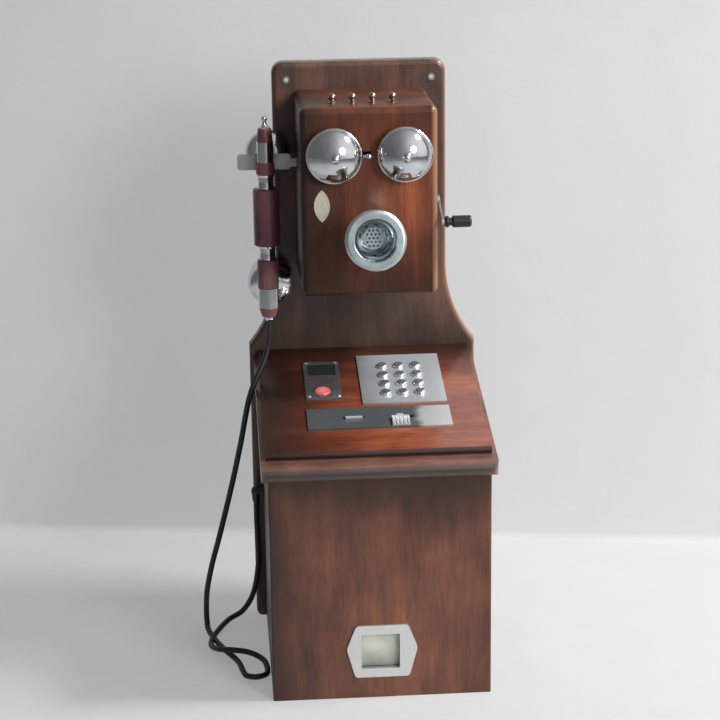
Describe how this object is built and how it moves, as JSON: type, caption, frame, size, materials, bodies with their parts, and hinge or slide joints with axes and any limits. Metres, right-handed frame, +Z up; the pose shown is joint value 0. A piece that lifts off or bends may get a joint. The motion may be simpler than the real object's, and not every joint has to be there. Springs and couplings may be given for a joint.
{
  "type": "pay_telephone",
  "caption": "Wooden wall pay telephone with twin gongs, mouthpiece horn, side crank, hung handset on a cord, sloped key desk and coin cabinet",
  "frame": {"origin": "middle of the cabinet's base on the floor, halfway between the back of the board and the cabinet front", "axes": "+X to the viewer's right, -Y out of the front, +Z up"},
  "size_m": [0.3528, 0.2895, 0.718],
  "materials": {
    "board_wood": "satin",
    "case_wood": "satin",
    "desk_wood": "gloss",
    "box_wood": "gloss",
    "turned_wood": "satin",
    "chrome": "gloss",
    "horn_metal": "satin",
    "old_brass": "gloss",
    "badge_metal": "satin",
    "steel_plate": "satin",
    "return_metal": "satin",
    "hook_steel": "satin",
    "inner_steel": "matte",
    "dark_plate": "satin",
    "dark_glass": "gloss",
    "red_lens": "gloss",
    "black_plastic": "gloss",
    "coil_wire": "matte",
    "green_board": "matte",
    "black_cord": "matte"
  },
  "bodies": {
    "case": {"backboard": "board_wood", "side_panels": "case_wood", "front_panel": "case_wood", "floor_panel": "case_wood", "desk_board": "desk_wood", "desk_lid": "desk_wood", "box_frame": "box_wood", "box_front": "box_wood", "eyelets": "chrome", "binding_posts": "old_brass", "badge": "badge_metal", "gongs": "chrome", "gong_posts": "chrome", "ringer_frame": "inner_steel", "ringer_coils": "coil_wire", "mouth_horn": "horn_metal", "mouth_capsule": "horn_metal", "hook_bracket": "inner_steel", "hook_switch": "black_plastic", "crank_bush": "old_brass", "key_plate": "steel_plate", "key_board": "green_board", "display_plate": "dark_plate", "display_window": "dark_glass", "plate_screws": "steel_plate", "coin_plate": "steel_plate", "return_plate": "return_metal", "return_pocket": "return_metal", "coin_chute": "inner_steel", "coin_box": "inner_steel", "cord_gland": "black_plastic", "cord": "black_cord"},
    "hook": {"hook_lever": "hook_steel"},
    "clapper_arm": {"clapper": "chrome"},
    "handset": {"handset_grip": "turned_wood", "handset_rings": "turned_wood", "handset_collars": "chrome", "ear_barrel": "chrome", "mouth_barrel": "chrome", "ear_cup": "chrome", "mouth_cup": "chrome", "handset_tips": "chrome", "cup_capsules": "black_plastic"},
    "crank_arm": {"crank": "hook_steel"},
    "crank_handle": {"crank_grip": "black_plastic"},
    "red_press": {"red_button": "red_lens"},
    "return_slide": {"return_lever": "steel_plate"},
    "flap": {"return_flap": "return_metal"},
    "digit_1": {"key_1": "chrome"},
    "digit_2": {"key_2": "chrome"},
    "digit_3": {"key_3": "chrome"},
    "digit_4": {"key_4": "chrome"},
    "digit_5": {"key_5": "chrome"},
    "digit_6": {"key_6": "chrome"},
    "digit_7": {"key_7": "chrome"},
    "digit_8": {"key_8": "chrome"},
    "digit_9": {"key_9": "chrome"},
    "digit_10": {"key_10": "chrome"},
    "digit_11": {"key_11": "chrome"},
    "digit_12": {"key_12": "chrome"}
  },
  "joints": [
    {"name": "handset_lift", "type": "slide", "parent": "case", "child": "handset", "axis": [0, 0, 1], "range_m": [0, 0.08]},
    {"name": "hook_rise", "type": "hinge", "parent": "case", "child": "hook", "pos_m": [-0.045, 0.072, 0.605], "axis": [0, 1, 0], "range_deg": [0, 8]},
    {"name": "clapper_swing", "type": "hinge", "parent": "case", "child": "clapper_arm", "pos_m": [-0.0062, 0.0065, 0.5714], "axis": [0, 1, 0], "range_deg": [0, 5.5], "stiffness_Nm_per_rad": 0.02},
    {"name": "crank_turn", "type": "hinge", "parent": "case", "child": "crank_arm", "pos_m": [0.08, 0.016, 0.565], "axis": [1, 0, 0], "continuous": true},
    {"name": "crank_grip_turn", "type": "hinge", "parent": "crank_arm", "child": "crank_handle", "pos_m": [0.1, -0.03155, 0.54955], "axis": [1, 0, 0], "continuous": true},
    {"name": "red_button_press", "type": "slide", "parent": "case", "child": "red_press", "axis": [0, 0.2198, -0.9755], "range_m": [0, 0.0015], "stiffness_N_per_m": 600},
    {"name": "return_slide_move", "type": "slide", "parent": "case", "child": "return_slide", "axis": [1, 0, 0], "range_m": [0, 0.008], "stiffness_N_per_m": 150},
    {"name": "flap_swing", "type": "hinge", "parent": "case", "child": "flap", "pos_m": [-0.002, -0.134, 0.078], "axis": [1, 0, 0], "range_deg": [0, 60]},
    {"name": "key_1_press", "type": "slide", "parent": "case", "child": "digit_1", "axis": [0, 0.2198, -0.9755], "range_m": [0, 0.002], "stiffness_N_per_m": 500},
    {"name": "key_2_press", "type": "slide", "parent": "case", "child": "digit_2", "axis": [0, 0.2198, -0.9755], "range_m": [0, 0.002], "stiffness_N_per_m": 500},
    {"name": "key_3_press", "type": "slide", "parent": "case", "child": "digit_3", "axis": [0, 0.2198, -0.9755], "range_m": [0, 0.002], "stiffness_N_per_m": 500},
    {"name": "key_4_press", "type": "slide", "parent": "case", "child": "digit_4", "axis": [0, 0.2198, -0.9755], "range_m": [0, 0.002], "stiffness_N_per_m": 500},
    {"name": "key_5_press", "type": "slide", "parent": "case", "child": "digit_5", "axis": [0, 0.2198, -0.9755], "range_m": [0, 0.002], "stiffness_N_per_m": 500},
    {"name": "key_6_press", "type": "slide", "parent": "case", "child": "digit_6", "axis": [0, 0.2198, -0.9755], "range_m": [0, 0.002], "stiffness_N_per_m": 500},
    {"name": "key_7_press", "type": "slide", "parent": "case", "child": "digit_7", "axis": [0, 0.2198, -0.9755], "range_m": [0, 0.002], "stiffness_N_per_m": 500},
    {"name": "key_8_press", "type": "slide", "parent": "case", "child": "digit_8", "axis": [0, 0.2198, -0.9755], "range_m": [0, 0.002], "stiffness_N_per_m": 500},
    {"name": "key_9_press", "type": "slide", "parent": "case", "child": "digit_9", "axis": [0, 0.2198, -0.9755], "range_m": [0, 0.002], "stiffness_N_per_m": 500},
    {"name": "key_10_press", "type": "slide", "parent": "case", "child": "digit_10", "axis": [0, 0.2198, -0.9755], "range_m": [0, 0.002], "stiffness_N_per_m": 500},
    {"name": "key_11_press", "type": "slide", "parent": "case", "child": "digit_11", "axis": [0, 0.2198, -0.9755], "range_m": [0, 0.002], "stiffness_N_per_m": 500},
    {"name": "key_12_press", "type": "slide", "parent": "case", "child": "digit_12", "axis": [0, 0.2198, -0.9755], "range_m": [0, 0.002], "stiffness_N_per_m": 500}
  ],
  "couplings": [
    {"joint": "hook_rise", "follows": "handset_lift", "rad_per_m": 1.7453}
  ]
}
